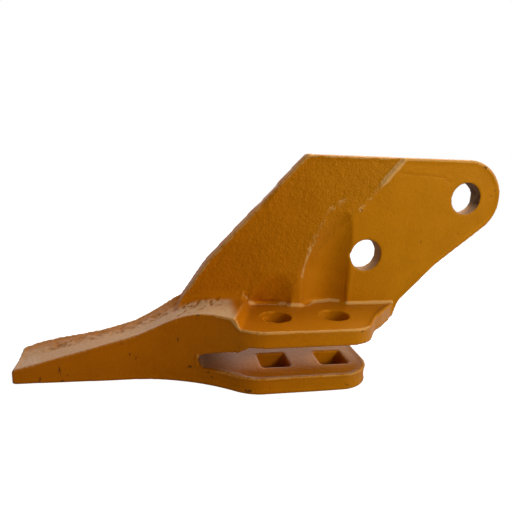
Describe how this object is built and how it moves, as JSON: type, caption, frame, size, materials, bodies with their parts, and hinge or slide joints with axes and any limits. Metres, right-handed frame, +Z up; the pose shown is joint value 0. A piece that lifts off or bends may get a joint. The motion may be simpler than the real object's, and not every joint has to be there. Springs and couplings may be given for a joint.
{
  "type": "backhoe bucket side cutter tooth",
  "caption": "Cast steel side cutter tooth for a backhoe bucket, with a digging tooth, a forked jaw that bolts over the bucket lip and a bolted wing for the side plate",
  "frame": {"origin": "midway between the two jaw bolt holes, on the seat under the upper jaw where the bucket lip bears", "axes": "+X from the tooth tip to the rear along the row of jaw bolts, +Y towards the bucket's side plate, +Z up along the jaw bolts"},
  "size_m": [0.343, 0.0658, 0.1506],
  "materials": {
    "yellow_paint": "orange-yellow enamel over a rough steel casting, satin, worn bright along the edges"
  },
  "bodies": {
    "root": {"casting": "yellow_paint"}
  },
  "joints": []
}
